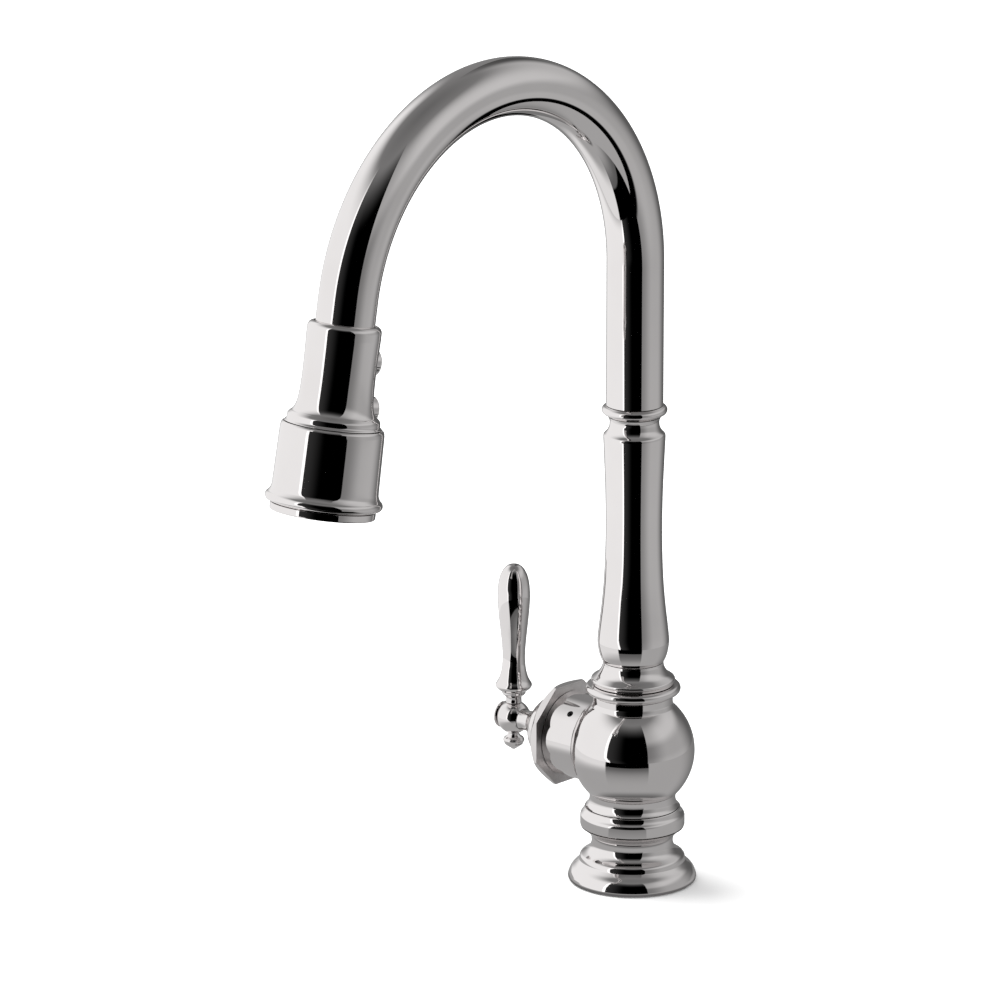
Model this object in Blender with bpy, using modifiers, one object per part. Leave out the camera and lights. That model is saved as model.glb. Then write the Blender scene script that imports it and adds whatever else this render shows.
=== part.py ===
"""A pull-down kitchen faucet: a turned column with a side valve and lever, a swivelling
gooseneck, and a two-button spray head that pulls off the spout on its hose.

The origin is the centre of the foot's underside, where it meets the deck. +Z is up, the
spout reaches towards -Y and the lever stands on the -X side. Outlines are in millimetres,
as (radius, height) pairs; the scene itself is in metres."""

import math

import bmesh
import bpy
from mathutils import Euler, Matrix, Vector

MM = 0.001
GAP = 0.3  # clearance between two pieces that touch, mm

# Driving dimensions, mm
TUBE_RADIUS = 14.29  # 1-1/8 inch spout tube
TUBE_BORE = 12.7
ARCH_RADIUS = 104.0  # spout centreline
ARCH_HEIGHT = 320.8  # centre of the arch
ARCH_LEAN = 10.5  # degrees that the spout's end leans outwards
TUBE_FOOT = 247.8  # where the spout tube starts
TUBE_END = 14.0  # length of straight tube past the arch
HOSE_RADIUS = 6.0
CHANNEL_RADIUS = 8.6  # the hose's way through the column
SHANK_RADIUS = 16.0  # fits a 35 mm deck hole
SHANK_BORE = 13.6
SHANK_END = -52.0
DECK_THICKNESS = 30.0
FOOT_TOP = 28.4
BALL_RADIUS = 31.2
VALVE_HEIGHT = 68.0  # of the ball's centre and of the valve's axis
BARREL_RADIUS = 21.75
BARREL_END = 42.0  # along the valve's axis, from the column's axis
PIVOT = 45.0  # the lever's pivot, along the valve's axis
DOME_RADIUS = 19.6  # of the handle dome, round the pivot
LIFT_ANGLE = 18.0  # degrees that the lever lifts
STEM_TIP = 26.1  # centre of the stem's ball end, along the valve's axis
KNOB = 80.5  # the lever ball's centre, along the valve's axis
KNOB_RADIUS = 8.6
DISC_OFFSET = -3.2  # the moving disc when shut, mm from the valve's axis
BUTTON_TURN = 17.0  # degrees from the head's back to its buttons
BUTTONS = {  # place along the head, radius, inner end and face from its axis, mm
    "stream_button": (29.0, 6.5, 14.0, 20.3),
    "spray_button": (51.5, 6.3, 15.6, 22.2),
}

# Facets round a turned piece
FINE = 20
PLAIN = 16
SMALL = 12

FINISHES = {  # colour, metallic, roughness
    "nickel": ((0.72, 0.70, 0.68), 1.0, 0.08),
    "brass": ((0.78, 0.58, 0.28), 1.0, 0.3),
    "steel": ((0.60, 0.60, 0.60), 1.0, 0.3),
    "rubber": ((0.02, 0.02, 0.02), 0.0, 0.7),
    "white_plastic": ((0.80, 0.80, 0.77), 0.0, 0.4),
    "dark_plastic": ((0.05, 0.05, 0.055), 0.0, 0.45),
    "ceramic": ((0.88, 0.86, 0.82), 0.0, 0.2),
    "magnet": ((0.10, 0.10, 0.10), 0.8, 0.4),
    "hose": ((0.18, 0.18, 0.19), 0.0, 0.5),
}


def clear_scene():
    for obj in list(bpy.data.objects):
        bpy.data.objects.remove(obj, do_unlink=True)


def collection(name):
    made = bpy.data.collections.new(name)
    bpy.context.scene.collection.children.link(made)
    return made


clear_scene()
PARTS = collection("pull_down_faucet")
CUTTERS = collection("cutters")
CUTTERS.hide_render = True


# ---- outline helpers: each returns (radius, height) points ----


def arc(radius, centre_r, centre_h, start, end, steps=6):
    """Round (centre_r, centre_h), in degrees, with 0 pointing outwards and 90 up."""
    points = []
    for step in range(steps + 1):
        angle = math.radians(start + (end - start) * step / steps)
        points.append((centre_r + radius * math.cos(angle), centre_h + radius * math.sin(angle)))
    return points


def flowing(points, steps=2):
    """A smooth curve through the points, with that many spans between two of them."""
    ends = [points[0]] + list(points) + [points[-1]]
    curve = []
    for i in range(1, len(ends) - 2):
        before, here, there, after = (Vector(p) for p in ends[i - 1 : i + 3])
        for step in range(steps):
            t = step / steps
            point = 0.5 * (
                2 * here
                + (there - before) * t
                + (2 * before - 5 * here + 4 * there - after) * t**2
                + (3 * here - before - 3 * there + after) * t**3
            )
            curve.append(tuple(point))
    return curve + [tuple(points[-1])]


def ring(inner, outer, low, high):
    return [(outer, high), (outer, low), (inner, low), (inner, high)]


def disc(outer, low, high):
    return [(0, high), (outer, high), (outer, low), (0, low)]


# ---- object helpers ----


def empty(name, place=(0, 0, 0), turn=(0, 0, 0), parent=None):
    made = bpy.data.objects.new(name, None)
    made.location = Vector(place) * MM
    made.rotation_euler = turn
    made.parent = parent
    PARTS.objects.link(made)
    return made


def finished(obj, finish):
    """Gives the object a material of its own."""
    colour, metallic, roughness = FINISHES[finish]
    material = bpy.data.materials.new(obj.name)
    material.use_nodes = True
    shader = material.node_tree.nodes["Principled BSDF"]
    shader.inputs["Base Color"].default_value = (*colour, 1)
    shader.inputs["Metallic"].default_value = metallic
    shader.inputs["Roughness"].default_value = roughness
    obj.data.materials.append(material)
    return obj


def placed(obj, parent, group=None, place=(0, 0, 0), turn=(0, 0, 0)):
    (group or PARTS).objects.link(obj)
    obj.parent = parent
    obj.location = Vector(place) * MM
    obj.rotation_euler = turn
    if group is CUTTERS:
        obj.hide_render = True
        obj.display_type = "WIRE"
    return obj


def turned(name, outline, finish, parent=None, facets=PLAIN, group=None, **where):
    """A piece turned about its Z axis. The outline runs down the outer side; one that
    doesn't start on the axis is a closed loop round the section of a ring."""
    mesh = bpy.data.meshes.new(name)
    points = [(r * MM, 0, h * MM) for r, h in outline]
    edges = [(i, i + 1) for i in range(len(points) - 1)]
    if outline[0][0] > 0:
        edges.append((len(points) - 1, 0))
    mesh.from_pydata(points, edges, [])
    obj = placed(bpy.data.objects.new(name, mesh), parent, group, **where)
    screw = obj.modifiers.new("turn", "SCREW")
    screw.steps = screw.render_steps = facets
    screw.use_merge_vertices = True
    screw.merge_threshold = 0.00001
    screw.use_smooth_shade = True
    return finished(obj, finish) if finish else obj


def cut(obj, cutter, operation="DIFFERENCE"):
    modifier = obj.modifiers.new(f"{operation.lower()}_{cutter.name}", "BOOLEAN")
    modifier.operation = operation
    modifier.solver = "EXACT"
    modifier.object = cutter
    return obj


def turned_cutter(name, outline, parent=None, facets=PLAIN, **where):
    return turned(name, outline, None, parent, facets, CUTTERS, **where)


def box_mesh(name, low, high):
    mesh = bpy.data.meshes.new(name)
    shape = bmesh.new()
    bmesh.ops.create_cube(shape, size=1)
    low, high = Vector(low) * MM, Vector(high) * MM
    size = high - low
    bmesh.ops.scale(shape, vec=size, verts=shape.verts)
    bmesh.ops.translate(shape, vec=(low + high) / 2, verts=shape.verts)
    shape.to_mesh(mesh)
    shape.free()
    return mesh


def box_cutter(name, low, high, parent=None, **where):
    obj = bpy.data.objects.new(name, box_mesh(name, low, high))
    return placed(obj, parent, CUTTERS, **where)


def prism_mesh(name, sides, radius, low, high, first=0.0):
    """A prism on the Z axis, with corners at that radius and the first at that angle."""
    mesh = bpy.data.meshes.new(name)
    shape = bmesh.new()
    bmesh.ops.create_cone(
        shape,
        cap_ends=True,
        segments=sides,
        radius1=radius * MM,
        radius2=radius * MM,
        depth=(high - low) * MM,
    )
    bmesh.ops.rotate(shape, matrix=Matrix.Rotation(math.radians(first), 3, "Z"), verts=shape.verts)
    bmesh.ops.translate(shape, vec=(0, 0, (low + high) / 2 * MM), verts=shape.verts)
    shape.to_mesh(mesh)
    shape.free()
    return mesh


def prism(name, sides, radius, low, high, finish=None, parent=None, first=0.0, **where):
    obj = bpy.data.objects.new(name, prism_mesh(name, sides, radius, low, high, first))
    if finish:
        return finished(placed(obj, parent, **where), finish)
    return placed(obj, parent, CUTTERS, **where)


def tube_mesh(name, path, radius, resolution):
    """A round bar along the path, as a mesh object that isn't in any collection yet."""
    data = bpy.data.curves.new(name, "CURVE")
    data.dimensions = "3D"
    spline = data.splines.new("POLY")
    spline.points.add(len(path) - 1)
    for point, place in zip(spline.points, path):
        point.co = (*(Vector(place) * MM), 1)
    data.bevel_depth = radius * MM
    data.bevel_resolution = resolution
    data.use_fill_caps = True
    curve = bpy.data.objects.new(name, data)
    bpy.context.scene.collection.objects.link(curve)
    graph = bpy.context.evaluated_depsgraph_get()
    mesh = bpy.data.meshes.new_from_object(curve.evaluated_get(graph))
    bpy.data.objects.remove(curve, do_unlink=True)
    shape = bmesh.new()
    shape.from_mesh(mesh)
    bmesh.ops.remove_doubles(shape, verts=shape.verts, dist=0.00001)
    bmesh.ops.recalc_face_normals(shape, faces=shape.faces)
    shape.to_mesh(mesh)
    shape.free()
    return bpy.data.objects.new(name, mesh)


# ---- the frame of the object ----

LEAN = math.radians(ARCH_LEAN)
# The arch stops short of half a turn, so its end leans outwards.
ARCH_END = Vector((0, -ARCH_RADIUS * (1 + math.cos(LEAN)), ARCH_HEIGHT + ARCH_RADIUS * math.sin(LEAN)))
MOUTH_DIRECTION = Vector((0, -math.sin(LEAN), -math.cos(LEAN)))


def spout_path(low, past_arch, steps):
    """The spout's centreline, from that height to that far past the end of the arch."""
    points = [(0, 0, low)]
    sweep = math.pi - LEAN
    for step in range(steps + 1):
        angle = sweep * step / steps
        across = ARCH_RADIUS * (1 - math.cos(angle))
        points.append((0, -across, ARCH_HEIGHT + ARCH_RADIUS * math.sin(angle)))
    points.append(tuple(ARCH_END + MOUTH_DIRECTION * past_arch))
    return points


valve_axis = empty("valve_axis", (0, 0, VALVE_HEIGHT), (0, -math.pi / 2, 0))
lever_axis = empty("lever_axis", (-PIVOT, 0, VALVE_HEIGHT))
head_axis = empty("head_axis", ARCH_END, (math.pi - LEAN, 0, 0))


# ---- foot and mounting ----


def foot_outline():
    cove = flowing([(25.6, FOOT_TOP), (21.6, 24.2), (20.5, 20.2), (21.7, 16.6), (25.3, 13.4)])
    ogee = flowing([(27.0, 10.4), (30.1, 6.9), (32.0, 3.2)])
    rim = arc(1.5, 30.9, 1.5, 45, -90, 3)
    step = [(26.3, 13.0), (26.6, 12.3), (26.6, 10.9)]
    underside = [(27.8, 0), (27.8, 2.0), (20.7, 2.0), (20.7, 0), (18.5, 0), (18.5, FOOT_TOP)]
    return cove + step + ogee + rim + underside


def make_foot():
    turned("foot", foot_outline(), "nickel", facets=FINE)
    turned("foot_gasket", ring(21.0, 27.5, 0, 1.7), "rubber", facets=FINE)
    band = [(23.7, 38.6), (24.3, 38.0), (24.4, 37.2), (25.3, 35.6), (26.0, 34.7), (26.3, 34.0)]
    band += [(26.3, 29.3), (25.8, FOOT_TOP + GAP), (18.5, FOOT_TOP + GAP), (18.5, 38.6)]
    turned("band_ring", band, "nickel", facets=FINE)


def make_mounting():
    turned("shank", ring(SHANK_BORE, SHANK_RADIUS, SHANK_END, 25.7), "brass", facets=FINE)
    under_deck = -DECK_THICKNESS
    bore = SHANK_RADIUS + GAP
    turned("clamp_gasket", ring(bore, 27.5, under_deck - 2.2, under_deck), "rubber", facets=FINE)
    turned("clamp_washer", ring(bore, 27.0, under_deck - 4.3, under_deck - 2.5), "steel", facets=FINE)
    nut = turned("mounting_nut", ring(bore, 29.5, under_deck - 14.6, under_deck - 4.6), "brass", facets=FINE)
    cut(nut, prism("nut_hexagon", 6, 29.0, -60, -20), "INTERSECT")
    for name, side in (("clamp_screw_front", -1), ("clamp_screw_rear", 1)):
        place = (0, side * 21.5, 0)
        hole = turned_cutter(f"{name}_hole", disc(2.8, -60, -20), facets=SMALL, place=place)
        cut(nut, hole)
        top = under_deck - 4.6
        screw = [(0, top), (2.5, top), (2.5, top - 12.5), (4.0, top - 12.5), (4.0, top - 16.0), (0, top - 16.0)]
        turned(name, screw, "steel", facets=SMALL, place=place)


# ---- valve body ----


def valve_body_outline():
    ball = arc(BALL_RADIUS, 0, VALVE_HEIGHT, 48.5, -44, 12)
    top = [(20.0, 97.2), (20.0, 93.6)]
    neck = [(21.8, 45.4), (21.7, 42.6), (22.3, 40.6), (23.3, 38.9)]
    spigot = [(18.2, 38.9), (18.2, 6.0), (SHANK_RADIUS + GAP, 6.0), (SHANK_RADIUS + GAP, 26.0)]
    channel = [(CHANNEL_RADIUS, 26.0), (CHANNEL_RADIUS, 87.5), (13.3, 87.5), (13.3, 97.2)]
    return top + ball + neck + spigot + channel


def make_valve_body():
    body = turned("valve_body", valve_body_outline(), "nickel", facets=FINE)
    end = BARREL_END
    barrel = [(0, end + 3.5), (21.3, end + 3.5), (21.3, end), (BARREL_RADIUS, end), (BARREL_RADIUS, 14), (0, 14)]
    cut(body, turned_cutter("barrel", barrel, valve_axis, FINE), "UNION")
    pocket = [(0, 47), (19.95, 47), (19.95, end), (18.9, end), (18.9, 36), (17.8, 36), (17.8, 12), (0, 12)]
    cut(body, turned_cutter("cartridge_pocket", pocket, valve_axis, FINE))
    for name, across in (("hot_way", -4.6), ("cold_way", 4.6)):
        cut(body, turned_cutter(name, disc(2.6, 20, 57), facets=SMALL, place=(-12.8, across, 0)))
    cut(body, turned_cutter("mixed_way", disc(1.7, 20, 57), facets=SMALL, place=(-11.6, 0, 0)))
    turn = Euler((math.radians(90 - 47), 0, 0))
    screw_place = (-29.0, 0, VALVE_HEIGHT)
    cut(body, turned_cutter("set_screw_hole", disc(1.7, 16, 24), facets=SMALL, place=screw_place, turn=turn))
    socket = [(0, 20.2), (0.7, 20.2), (0.7, 21.5), (1.4, 21.5), (1.4, 18.2), (0, 18.2)]
    turned("set_screw", socket, "steel", facets=SMALL, place=screw_place, turn=turn)
    collar = arc(2.25, 21.65, 100.7, 78, -78, 5) + [(20.4, 97.5), (13.3, 97.5), (13.3, 103.0), (20.6, 103.0)]
    turned("body_collar", collar, "nickel", facets=FINE)


def make_swivel_post():
    post = [(10.8, 150), (10.8, 147.5), (9.8, 147.5), (9.8, 145.2), (10.8, 145.2), (10.8, 103.0)]
    post += [(13.0, 103.0), (13.0, 87.8), (CHANNEL_RADIUS, 87.8), (CHANNEL_RADIUS, 150)]
    turned("swivel_post", post, "brass", facets=FINE)
    turned("glide_washer", ring(11.1, 13.0, 103.3, 105.0), "white_plastic", facets=FINE)
    clip = turned("retaining_clip", ring(10.1, 12.5, 145.5, 147.2), "steel", facets=FINE)
    cut(clip, box_cutter("clip_gap", (2, -4, 140), (20, 4, 152)))


# ---- spout ----


def column_outline():
    cove = flowing([(13.4, 241.8), (12.4, 238.8), (12.9, 235.6), (15.1, 232.8)])
    belly = flowing(
        [(15.5, 230.5), (14.6, 210), (14.1, 186), (15.0, 156), (17.1, 134)]
        + [(17.95, 125), (17.3, 119.6), (15.4, 115.0)]
    )
    bore = [(13.3, 115.0), (13.3, 150.5), (12.2, 150.5), (12.2, 226), (10.9, 227.3), (10.9, 241.8)]
    return cove + [(15.5, 232.3)] + belly + bore


def make_spout():
    collar = [(15.3, 114.7)] + flowing([(15.3, 113.2), (16.6, 109.7), (20.1, 106.7)])
    collar += arc(1.1, 20.0, 105.4, 60, -60, 2) + [(20.4, 103.3), (13.3, 103.3), (13.3, 114.7)]
    turned("spout_collar", collar, "nickel", facets=FINE)
    turned("column", column_outline(), "nickel", facets=FINE)
    bead = arc(2.15, 14.2, 245.1, 75, -75, 5) + [(13.6, 242.1), (10.9, 242.1), (10.9, 247.5), (14.3, 247.5)]
    turned("column_bead", bead, "nickel", facets=FINE)
    spigot = [(12.4, 263), (12.4, 247.8), (10.6, 247.8), (10.6, 229), (CHANNEL_RADIUS, 229), (CHANNEL_RADIUS, 263)]
    turned("spout_spigot", spigot, "brass")
    turned("lower_bush", ring(11.1, 13.0, 105.3, 118), "white_plastic", facets=FINE)
    turned("upper_bush", ring(11.1, 13.0, 132, 144.9), "white_plastic", facets=FINE)
    gooseneck = tube_mesh("gooseneck", spout_path(TUBE_FOOT, TUBE_END, 20), TUBE_RADIUS, 7)
    finished(placed(gooseneck, None), "nickel")
    bore_path = spout_path(TUBE_FOOT - 10, TUBE_END + 10, 20)
    cut(gooseneck, placed(tube_mesh("gooseneck_bore", bore_path, TUBE_BORE, 7), None, CUTTERS))
    turned("dock_bush", ring(8.9, 12.3, 0.3, 10.0), "dark_plastic", head_axis)
    turned("dock_magnet", ring(8.9, 12.3, 10.3, 13.6), "magnet", head_axis)
    hose = tube_mesh("spray_hose", spout_path(SHANK_END, 1.0, 22), HOSE_RADIUS, 2)
    finished(placed(hose, None), "hose")


# ---- cartridge ----


def make_cartridge():
    seal = turned("cartridge_seal", disc(15.0, 12.3, 13.5), "rubber", valve_axis)
    cup = [(0, 15.8), (15.4, 15.8), (15.4, 33.6), (10.9, 33.6), (10.9, 36.0), (17.5, 36.0), (17.5, 13.8), (0, 13.8)]
    housing = turned("cartridge_housing", cup, "white_plastic", valve_axis)
    fixed = turned("fixed_disc", disc(14.9, 16.1, 19.1), "ceramic", valve_axis)
    for name, up, across in (("hot_port", 4.5, -6.0), ("cold_port", 4.5, 6.0), ("mixed_port", -6.5, 0.0)):
        port = turned_cutter(name, disc(2.6, 5, 25), valve_axis, SMALL, place=(up, across, 0))
        for piece in (seal, housing, fixed):
            cut(piece, port)
    place = (DISC_OFFSET, 0, 0)
    moving = turned("moving_disc", disc(11.0, 19.4, 22.4), "ceramic", valve_axis, place=place)
    hollow = turned_cutter("mixing_hollow", disc(6.5, 15, 20.9), valve_axis, place=place)
    cut(moving, hollow)
    carrier = turned("disc_carrier", disc(11.0, 22.7, 28.2), "dark_plastic", valve_axis, place=place)
    socket = [(0, 29), (4.5, 29), (2.8, 27.0), (2.8, 23.4), (0, 23.4)]
    cut(carrier, turned_cutter("stem_socket", socket, valve_axis, SMALL))
    turned("cartridge_nut", ring(10.9, 18.6, 36.3, 41.5), "brass", valve_axis)


def make_turret():
    shape = [(0, 49), (10.5, 49), (10.5, 33.3), (14.9, 33.3), (14.9, 28.5), (0, 28.5)]
    turret = turned("turret", shape, "dark_plastic", valve_axis)
    cut(turret, box_cutter("stem_slot", (-5.0, -3.3, 20), (8.7, 3.3, 60), valve_axis))
    across = Euler((math.pi / 2, 0, 0))
    place = (0, 0, PIVOT)
    cut(turret, turned_cutter("pin_hole", disc(1.5, -20, 20), valve_axis, SMALL, place=place, turn=across))
    turned("pivot_pin", disc(1.2, -9.8, 9.8), "steel", valve_axis, SMALL, place=place, turn=across)


def make_bonnet():
    lip = 74.0  # degrees from the valve's axis to the edge of the opening
    clear = DOME_RADIUS + GAP
    seat = [(21.6, BARREL_END + GAP), (21.6, 46.2)]
    inside = arc(clear, 0, PIVOT, 3.5, 90 - lip, 4)
    outside = [(20.0, 50.9), (21.3, 49.8), (23.2, 47.9), (25.4, 45.9), (27.8, 44.1), (27.8, BARREL_END + GAP)]
    bonnet = turned("bonnet_nut", outside + seat + inside, "nickel", valve_axis, FINE)
    octagon = prism("octagon", 8, 27.5, 30, 60, parent=valve_axis, first=22.5)
    cut(bonnet, octagon, "INTERSECT")


# ---- lever ----


def make_handle():
    """Everything that lifts with the lever. Places are from the pivot."""
    along = {"parent": lever_axis, "turn": (0, -math.pi / 2, 0)}
    upright = {"parent": lever_axis, "place": (PIVOT - KNOB, 0, -VALVE_HEIGHT)}
    end = 73.7 - PIVOT
    trumpet = flowing([(5.6, end), (5.3, end - 4.0), (6.9, end - 8.6)])
    outside = arc(DOME_RADIUS, 0, 0, 62, -6, 8)
    inside = arc(DOME_RADIUS - 1.6, 0, 0, -6, 70, 6)
    boss = [(6.0, 16.0), (6.0, 10.0), (2.6, 10.0), (2.6, 18.0), (1.9, 18.0), (1.9, end)]
    dome = turned("handle_dome", trumpet + outside + inside + boss, "nickel", facets=FINE, **along)
    # The dome's skirt is cut aslant, so that it fills the bonnet at both ends of the lift.
    skirt = box_cutter("skirt", (-40, -40, -60), (40, 40, 1.7), lever_axis)
    skirt.rotation_euler = (0, math.radians(LIFT_ANGLE / 2 - 90), 0)
    cut(dome, skirt)

    ball = [(0, 72.0), (2.3, 72.0), (2.3, 75.7)] + arc(KNOB_RADIUS, 0, VALVE_HEIGHT, 63.5, -65, 8)
    ball += [(2.0, 60.2), (2.0, 64.0), (0, 64.0)]
    knob = turned("handle_ball", ball, "nickel", facets=PLAIN, **upright)
    centre = KNOB - PIVOT
    way = [(0, 60), (3.5, 60), (3.5, centre + 3.2), (1.9, centre + 3.2), (1.9, 20), (0, 20)]
    cut(knob, turned_cutter("screw_way", way, lever_axis, SMALL, turn=along["turn"]))
    for name, low, high in (("inner_flat", 20, 74.0 - PIVOT), ("outer_flat", 87.0 - PIVOT, 60)):
        cut(knob, box_cutter(name, (-20, -20, low), (20, 20, high), lever_axis, turn=along["turn"]))

    cap = [(0, 44.7), (3.5, 44.5), (6.0, 43.9), (6.9, 43.1), (6.9, 42.3), (0, 42.3)]
    turned("hub_cap", cap, "nickel", **along)
    head = centre + 3.5
    screw = [(0, head + 2.7), (3.1, head + 2.7), (3.1, head), (1.6, head), (1.6, 18.3), (0, 18.3)]
    turned("hub_screw", screw, "steel", facets=SMALL, **along)
    tip = STEM_TIP - PIVOT
    stem = [(0, 17.7), (2.3, 17.7), (2.3, 2.6), (2.9, 1.6), (2.9, -1.6), (2.2, -2.6), (1.9, tip + 3.0)]
    stem += arc(2.4, 0, tip, 40, -90, 6)
    bar = turned("lever_stem", stem, "steel", facets=SMALL, **along)
    cut(bar, turned_cutter("stem_pin_hole", disc(1.5, -20, 20), lever_axis, SMALL, turn=(math.pi / 2, 0, 0)))

    grip = flowing(
        [(0, 149.3), (4.6, 147.4), (7.4, 141.5), (8.25, 133.0), (7.3, 118), (5.85, 103), (6.4, 93), (8.6, 87)]
    )
    grip += [(9.3, 85.4), (8.9, 84.0), (7.4, 82.7), (6.1, 82.0), (6.1, 80.9), (5.5, 80.1)]
    grip += [(4.3, 79.5), (4.0, 78.4), (4.1, 76.0), (2.0, 76.0), (2.0, 72.3), (0, 72.3)]
    turned("lever_grip", grip, "nickel", **upright)
    finial = [(0, 63.7), (1.7, 63.7), (1.7, 59.9), (2.9, 59.9), (2.9, 59.0), (4.0, 57.7), (5.2, 56.9)]
    finial += [(5.45, 55.8), (5.3, 54.6), (4.6, 53.5), (3.1, 52.5), (1.6, 51.3), (0, 50.7)]
    turned("finial", finial, "nickel", **upright)


# ---- spray head: heights are distances past the end of the arch ----


def make_hose_end():
    tail = tube_mesh("hose_tail", [(0, 0, 1.3), (0, 0, 6), (0, 0, 11), (0, 0, 16)], HOSE_RADIUS, 2)
    finished(placed(tail, head_axis), "hose")
    turned("hose_ferrule", ring(4.0, 7.6, 16.3, 30.0), "steel", head_axis)
    nut = prism("swivel_nut", 6, 11.0, 30.3, 40.3, "brass", head_axis)
    cut(nut, turned_cutter("swivel_bore", disc(5.0, 25, 45), head_axis))


def head_shell_outline():
    shoulder = [(23.4, 59.6), (22.9, 59.0), (22.4, 58.4), (22.4, 56.2), (21.9, 55.5)]
    waist = flowing([(21.2, 55.1), (18.9, 51.5), (17.7, 44), (17.5, 33), (17.65, 21)])
    rim = arc(2.9, 14.95, 13.8, 0, -90, 4)
    inside = [(14.65, 11.1), (14.65, 17.3), (15.4, 17.3), (15.4, 44.3), (16.6, 50), (20.2, 56), (20.2, 59.6)]
    return shoulder + waist + rim + inside


def head_bell_outline():
    lip = [(25.4, 98.7)] + arc(2.4, 25.75, 95.7, 80, -80, 6)
    wall = [(25.6, 91.2), (25.4, 87), (25.2, 75), (25.05, 64), (24.8, 61.6), (24.2, 60.3), (23.9, 59.9)]
    return lip + wall + [(20.4, 59.9), (20.4, 61.0), (22.7, 64.0), (22.7, 98.7)]


def make_spray_head():
    shell = turned("head_shell", head_shell_outline(), "nickel", head_axis, FINE)
    turned("head_bell", head_bell_outline(), "nickel", head_axis, FINE)
    trim = [(24.9, 102.5), (25.3, 102.0), (25.3, 99.0), (22.9, 99.0), (22.9, 102.5)]
    turned("face_ring", trim, "nickel", head_axis, FINE)
    turned("spray_face", ring(8.7, 22.4, 96.0, 101.4), "dark_plastic", head_axis, FINE)
    turned("nozzle_mat", ring(9.2, 22.0, 93.5, 95.7), "rubber", head_axis)
    turned("aerator", ring(3.0, 8.3, 91.0, 101.8), "white_plastic", head_axis)
    turned("dock_plate", ring(9.4, 14.3, 14.4, 17.0), "steel", head_axis)
    core = [(20.0, 93.2), (20.0, 65.0), (12.5, 60.5), (12.5, 44.5), (15.1, 43.8), (15.1, 17.3), (11.4, 17.3)]
    core += [(11.4, 40.7), (5.3, 40.7), (5.3, 60), (8.9, 62), (8.9, 93.2)]
    core = turned("spray_core", core, "dark_plastic", head_axis)
    turned("check_valve", ring(2.0, 5.0, 41.0, 53.0), "white_plastic", head_axis)
    turned("diverter", ring(4.0, 8.6, 66.0, 80.0), "white_plastic", head_axis)
    for name, (place, radius, inner, face) in BUTTONS.items():
        turn = Euler((math.pi / 2, 0, math.radians(BUTTON_TURN)))
        where = {"place": (0, 0, place), "turn": turn}
        hole = turned_cutter(f"{name}_hole", disc(radius + GAP, inner - 2.0, 30), head_axis, **where)
        cut(shell, hole)
        cut(core, hole)
        edge = radius - 0.5
        outline = [(0, face), (0.6 * radius, face - 0.35), (edge, face - 1.1), (radius, face - 1.9)]
        turned(name, outline + [(radius, inner), (0, inner)], "nickel", head_axis, **where)


make_foot()
make_mounting()
make_valve_body()
make_swivel_post()
make_spout()
make_cartridge()
make_turret()
make_bonnet()
make_handle()
make_hose_end()
make_spray_head()
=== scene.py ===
"""The pull-down kitchen faucet as it looks: finely turned pieces in polished nickel round
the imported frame, in a white studio. Outlines are in millimetres, as (radius, height)
pairs; objects are in metres, in the frame's own axes."""

import math

import bmesh
import bpy
import numpy as np
from mathutils import Euler, Matrix, Vector


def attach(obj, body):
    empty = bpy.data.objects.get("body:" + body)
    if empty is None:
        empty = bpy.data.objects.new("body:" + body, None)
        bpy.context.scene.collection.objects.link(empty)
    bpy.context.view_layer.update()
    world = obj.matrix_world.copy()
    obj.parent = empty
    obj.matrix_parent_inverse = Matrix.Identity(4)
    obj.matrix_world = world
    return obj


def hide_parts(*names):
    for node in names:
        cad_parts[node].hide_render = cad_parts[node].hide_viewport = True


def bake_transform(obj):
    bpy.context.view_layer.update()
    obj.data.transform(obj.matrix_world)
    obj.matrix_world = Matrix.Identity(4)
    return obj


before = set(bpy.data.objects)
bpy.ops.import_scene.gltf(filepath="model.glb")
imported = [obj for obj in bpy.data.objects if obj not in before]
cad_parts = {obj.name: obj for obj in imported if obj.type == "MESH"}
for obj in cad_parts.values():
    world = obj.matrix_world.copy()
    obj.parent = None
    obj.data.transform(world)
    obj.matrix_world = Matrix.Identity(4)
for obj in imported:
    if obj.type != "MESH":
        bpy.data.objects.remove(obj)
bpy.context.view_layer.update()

MM = 0.001
GAP = 0.3  # clearance between two pieces that touch, mm

# The object's dimensions, in mm unless stated
TUBE_RADIUS = 14.29
TUBE_BORE = 12.7
ARCH_RADIUS = 104.0
ARCH_HEIGHT = 320.8
ARCH_LEAN = 10.5  # degrees
TUBE_FOOT = 247.8
TUBE_END = 14.0  # the mouth, past the end of the arch
HOSE_RADIUS = 6.0
HOSE_BORE = 4.2
TAIL_START = 1.3  # of the hose's tail, past the end of the arch
TAIL_END = 16.0
CHANNEL_RADIUS = 8.6
SHANK_RADIUS = 16.0
SHANK_BORE = 13.6
SHANK_END = -52.0
DECK_THICKNESS = 30.0
CLAMP_STACK = 4.6  # gasket and washer under the deck
CLAMP_SCREW_OFFSET = 21.5
FOOT_TOP = 28.4
FOOT_BORE = 18.5
POST_BORE = 13.3  # round the swivel post
SPIGOT_BORE = 10.9  # round the spout's spigot
BALL_RADIUS = 31.2
VALVE_HEIGHT = 68.0
BARREL_RADIUS = 21.75
SEAM_FILLET = 2.6  # between ball and barrel
SEAM_SINK = 0.08  # so that the fillet cuts into the ball and leaves no sliver
BARREL_END = 42.0
SET_SCREW_TURN = 43.0  # degrees
PIVOT = 45.0  # the lever's pivot, along the barrel
DOME_RADIUS = 19.6
LIFT_ANGLE = 18.0  # degrees
KNOB = 80.5  # the lever's knob, along the barrel
KNOB_RADIUS = 8.6
BUTTON_TURN = 17.0  # degrees from the head's back to its buttons
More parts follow.
